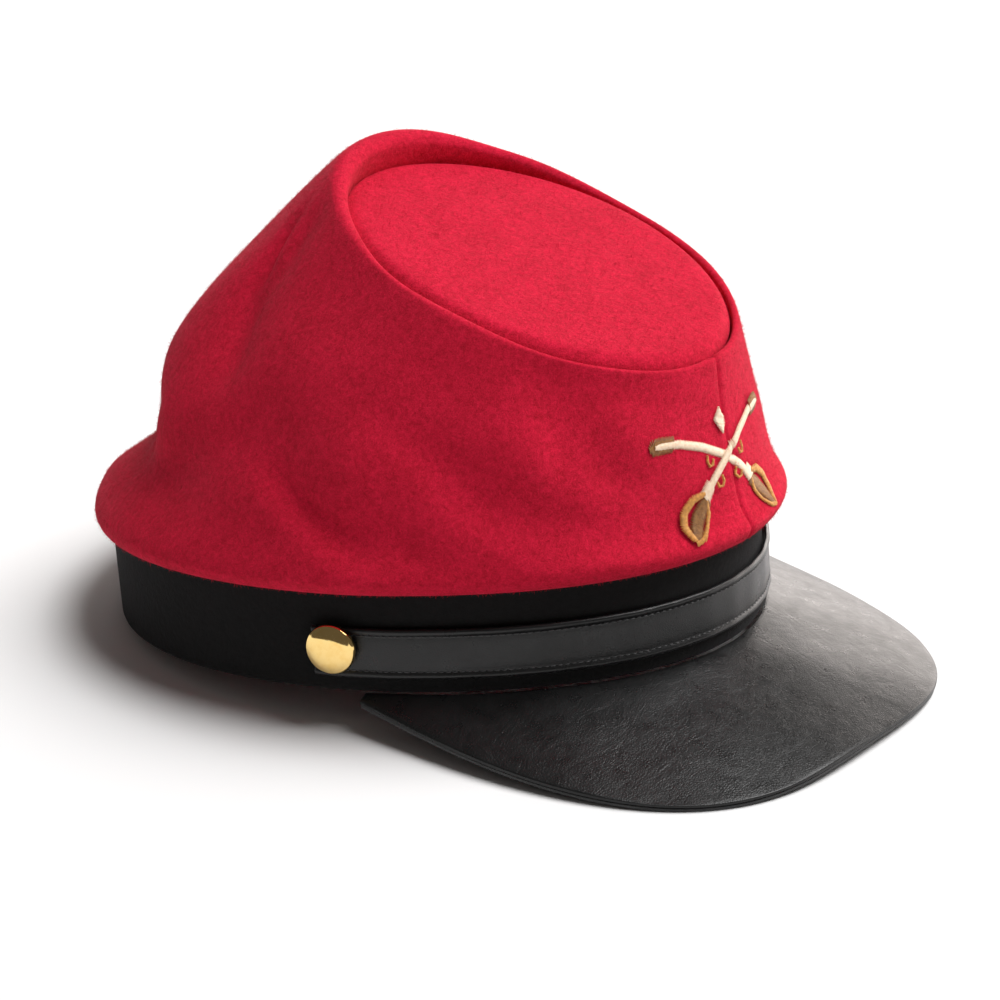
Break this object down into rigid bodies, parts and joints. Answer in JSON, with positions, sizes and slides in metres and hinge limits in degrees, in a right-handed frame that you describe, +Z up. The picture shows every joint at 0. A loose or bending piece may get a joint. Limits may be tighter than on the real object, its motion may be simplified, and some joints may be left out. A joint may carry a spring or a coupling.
{
  "type": "kepi cap",
  "caption": "Soft felt kepi with a forward-leaning crown, sunken oval top, felt band, chin strap with domed buttons and a leather peak.",
  "frame": {"origin": "centre of the bounding box at the height of the surface the cap rests on", "axes": "+Z up as the cap rests, -Y towards the peak and front, -X towards the wearer's right"},
  "size_m": [0.1906, 0.2536, 0.14],
  "materials": {
    "red_felt": "napped wool felt",
    "black_felt": "matte wool felt",
    "black_leather": "finely grained, semi-gloss",
    "gilt": "polished"
  },
  "bodies": {
    "root": {"crown_side": "red_felt", "crown_top": "red_felt", "band": "black_felt", "chin_strap": "black_leather", "button_right": "gilt", "button_left": "gilt", "peak_upper": "black_leather", "peak_underside": "black_leather"}
  },
  "joints": []
}
